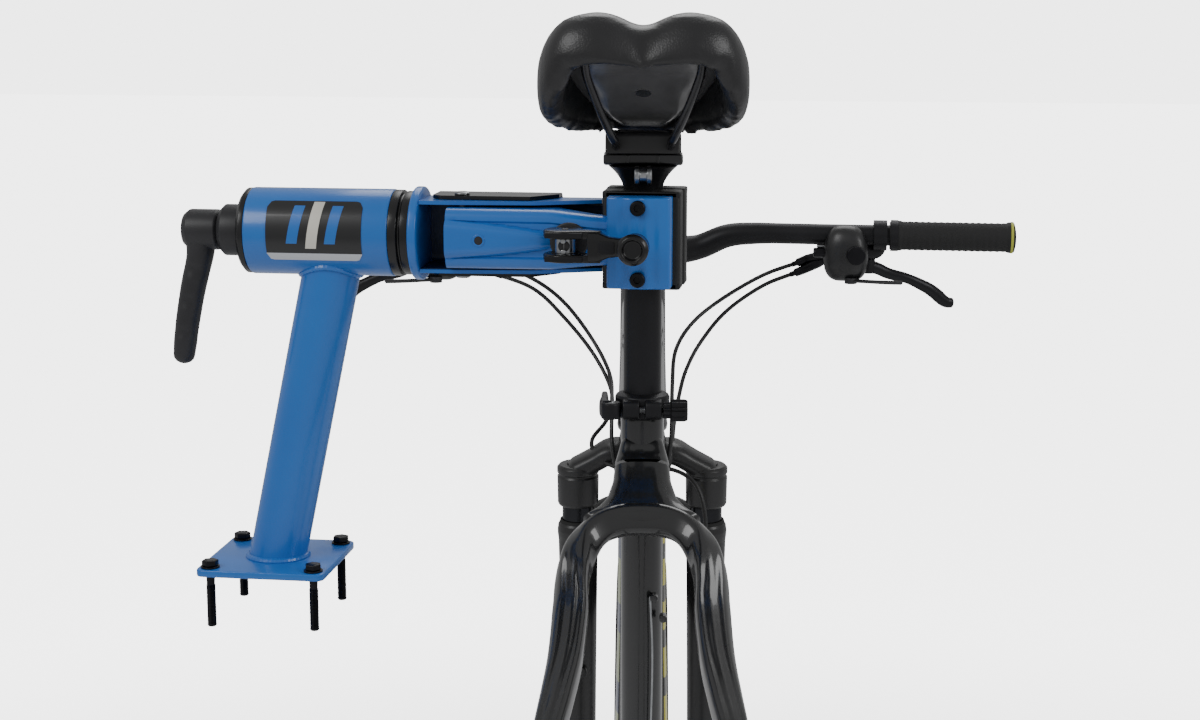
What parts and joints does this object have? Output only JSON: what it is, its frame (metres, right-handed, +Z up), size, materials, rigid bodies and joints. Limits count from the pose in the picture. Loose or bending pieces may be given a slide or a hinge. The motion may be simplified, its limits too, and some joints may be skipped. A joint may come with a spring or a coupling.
{
  "type": "bicycle on stand",
  "caption": "Bench-mount repair stand whose rotating clamp holds a mountain bicycle by its seatpost, nose-down, with the rear wheel out; every joint of stand and bicycle moves.",
  "frame": {"origin": "centre of the four base studs, on the underside of the base plate", "axes": "+X runs along the clamp arm to the jaws, +Y is away from the user, towards the bicycle's front wheel, +Z is up out of the base plate"},
  "size_m": [0.7854, 1.2901, 1.2746],
  "materials": {
    "blue_powder_coat": "gloss",
    "black_oxide_steel": "satin",
    "black_plastic": "satin",
    "acetal": "satin",
    "badge_print": "gloss",
    "zinc_plated_steel": "satin",
    "black_rubber": "matte",
    "tyre_rubber": "matte",
    "cable_housing": "satin",
    "black_anodised_aluminium": "satin",
    "rail_steel": "satin",
    "saddle_vinyl": "satin",
    "gloss_black_paint": "gloss",
    "grey_anodised_tube": "polished"
  },
  "bodies": {
    "stand": {"base_plate": "blue_powder_coat", "base_bolts": "black_oxide_steel", "column": "blue_powder_coat", "barrel": "blue_powder_coat", "barrel_end_ring": "black_plastic", "barrel_seal_ring": "black_plastic", "barrel_bushes": "acetal", "badge_plate": "badge_print", "lock_collar": "black_plastic"},
    "lock": {"lock_handle": "black_plastic"},
    "head": {"clamp_shaft": "zinc_plated_steel", "clamp_flange": "blue_powder_coat", "rear_jaw": "blue_powder_coat", "outer_channel": "black_oxide_steel", "hinge_pin": "zinc_plated_steel", "rear_pad": "black_rubber", "rod_nut": "black_oxide_steel", "seatpost": "black_anodised_aluminium", "saddle_clamp": "black_anodised_aluminium", "saddle_clamp_bolt": "zinc_plated_steel", "saddle_rails": "rail_steel", "saddle_shell": "black_plastic", "saddle_cover": "saddle_vinyl", "seat_collar": "black_anodised_aluminium", "collar_nut": "black_anodised_aluminium", "frame": "gloss_black_paint", "rear_triangle": "gloss_black_paint", "headset_cups": "black_anodised_aluminium", "bottom_bracket": "black_anodised_aluminium", "frame_cables": "cable_housing"},
    "front_jaw": {"front_arm": "blue_powder_coat", "front_jaw_head": "blue_powder_coat", "front_pad": "black_rubber", "jaw_bolts": "black_oxide_steel"},
    "screw": {"clamp_rod": "zinc_plated_steel", "rod_washer": "black_oxide_steel", "cross_pin": "zinc_plated_steel"},
    "cam": {"cam_lever": "black_plastic", "lever_knob": "black_plastic"},
    "post_lever": {"collar_lever": "black_anodised_aluminium"},
    "steer": {"fork_crown": "gloss_black_paint", "stanchions": "grey_anodised_tube", "stem": "black_anodised_aluminium", "handlebar": "black_anodised_aluminium", "grips": "black_rubber", "lever_bodies": "black_plastic", "shifters": "black_plastic", "brake_hose": "cable_housing"},
    "lowers": {"fork_lowers": "gloss_black_paint"},
    "wheel": {"front_hub": "black_anodised_aluminium", "front_spokes": "zinc_plated_steel", "front_rim": "black_anodised_aluminium", "front_tyre": "tyre_rubber"},
    "crank": {"crankset": "black_anodised_aluminium"},
    "left_pedal": {"pedal_left": "black_plastic"},
    "right_pedal": {"pedal_right": "black_plastic"},
    "left_brake": {"brake_lever_left": "black_anodised_aluminium"},
    "right_brake": {"brake_lever_right": "black_anodised_aluminium"},
    "left_shift": {"shift_lever_left": "black_plastic"},
    "right_shift": {"shift_lever_right": "black_plastic"}
  },
  "joints": [
    {"name": "lock_turn", "type": "hinge", "parent": "stand", "child": "lock", "pos_m": [-0.05, 0, 0.286], "axis": [1, 0, 0], "range_deg": [-90, 90]},
    {"name": "clamp_turn", "type": "hinge", "parent": "stand", "child": "head", "pos_m": [0.1, 0, 0.286], "axis": [1, 0, 0], "continuous": true},
    {"name": "jaw_open", "type": "hinge", "parent": "head", "child": "front_jaw", "pos_m": [0.167, -0.006, 0.286], "axis": [0, 0, -1], "range_deg": [0, 8]},
    {"name": "screw_out", "type": "slide", "parent": "head", "child": "screw", "axis": [0, -1, 0], "range_m": [0, 0.0185]},
    {"name": "cam_open", "type": "hinge", "parent": "screw", "child": "cam", "pos_m": [0.2605, -0.06, 0.286], "axis": [0, 0, -1], "range_deg": [0, 90]},
    {"name": "post_lever_open", "type": "hinge", "parent": "head", "child": "post_lever", "pos_m": [0.29252, -0.0268, 0.147], "axis": [0, 0, 1], "range_deg": [0, 150]},
    {"name": "steering", "type": "hinge", "parent": "head", "child": "steer", "pos_m": [0.25595, 0.49519, 0.006], "axis": [0.0062, -0.052, 0.9986], "range_deg": [-40, 40], "deforming": ["brake_hose", "frame_cables"]},
    {"name": "fork_travel", "type": "slide", "parent": "steer", "child": "lowers", "axis": [0.0062, -0.052, 0.9986], "range_m": [0, 0.08], "stiffness_N_per_m": 8000},
    {"name": "wheel_spin", "type": "hinge", "parent": "lowers", "child": "wheel", "pos_m": [0.24801, 0.56178, -0.47114], "axis": [0.993, 0.1184, 0], "continuous": true},
    {"name": "crank_spin", "type": "hinge", "parent": "head", "child": "crank", "pos_m": [0.315, 0, -0.284], "axis": [0.993, 0.1184, 0], "continuous": true},
    {"name": "left_pedal_spin", "type": "hinge", "parent": "crank", "child": "left_pedal", "pos_m": [0.25172, -0.17875, -0.284], "axis": [0.993, 0.1184, 0], "continuous": true},
    {"name": "right_pedal_spin", "type": "hinge", "parent": "crank", "child": "right_pedal", "pos_m": [0.37828, 0.17875, -0.284], "axis": [0.993, 0.1184, 0], "continuous": true},
    {"name": "right_brake_pull", "type": "hinge", "parent": "steer", "child": "right_brake", "pos_m": [0.49061, 0.58089, 0.18554], "axis": [0.0295, -0.9201, -0.3906], "range_deg": [0, 18], "stiffness_Nm_per_rad": 1},
    {"name": "left_brake_pull", "type": "hinge", "parent": "steer", "child": "left_brake", "pos_m": [0.00772, 0.52331, 0.18554], "axis": [-0.1877, 0.9012, 0.3906], "range_deg": [0, 18], "stiffness_Nm_per_rad": 1},
    {"name": "right_shift_push", "type": "hinge", "parent": "steer", "child": "right_shift", "pos_m": [0.4728, 0.54182, 0.1754], "axis": [0.0032, 0.0352, 0.9994], "range_deg": [0, 25], "stiffness_Nm_per_rad": 0.3},
    {"name": "left_shift_push", "type": "hinge", "parent": "steer", "child": "left_shift", "pos_m": [0.03422, 0.48952, 0.1754], "axis": [0.0114, -0.0335, -0.9994], "range_deg": [0, 25], "stiffness_Nm_per_rad": 0.3}
  ],
  "couplings": [
    {"joint": "screw_out", "follows": "jaw_open", "m_per_rad": 0.13}
  ]
}
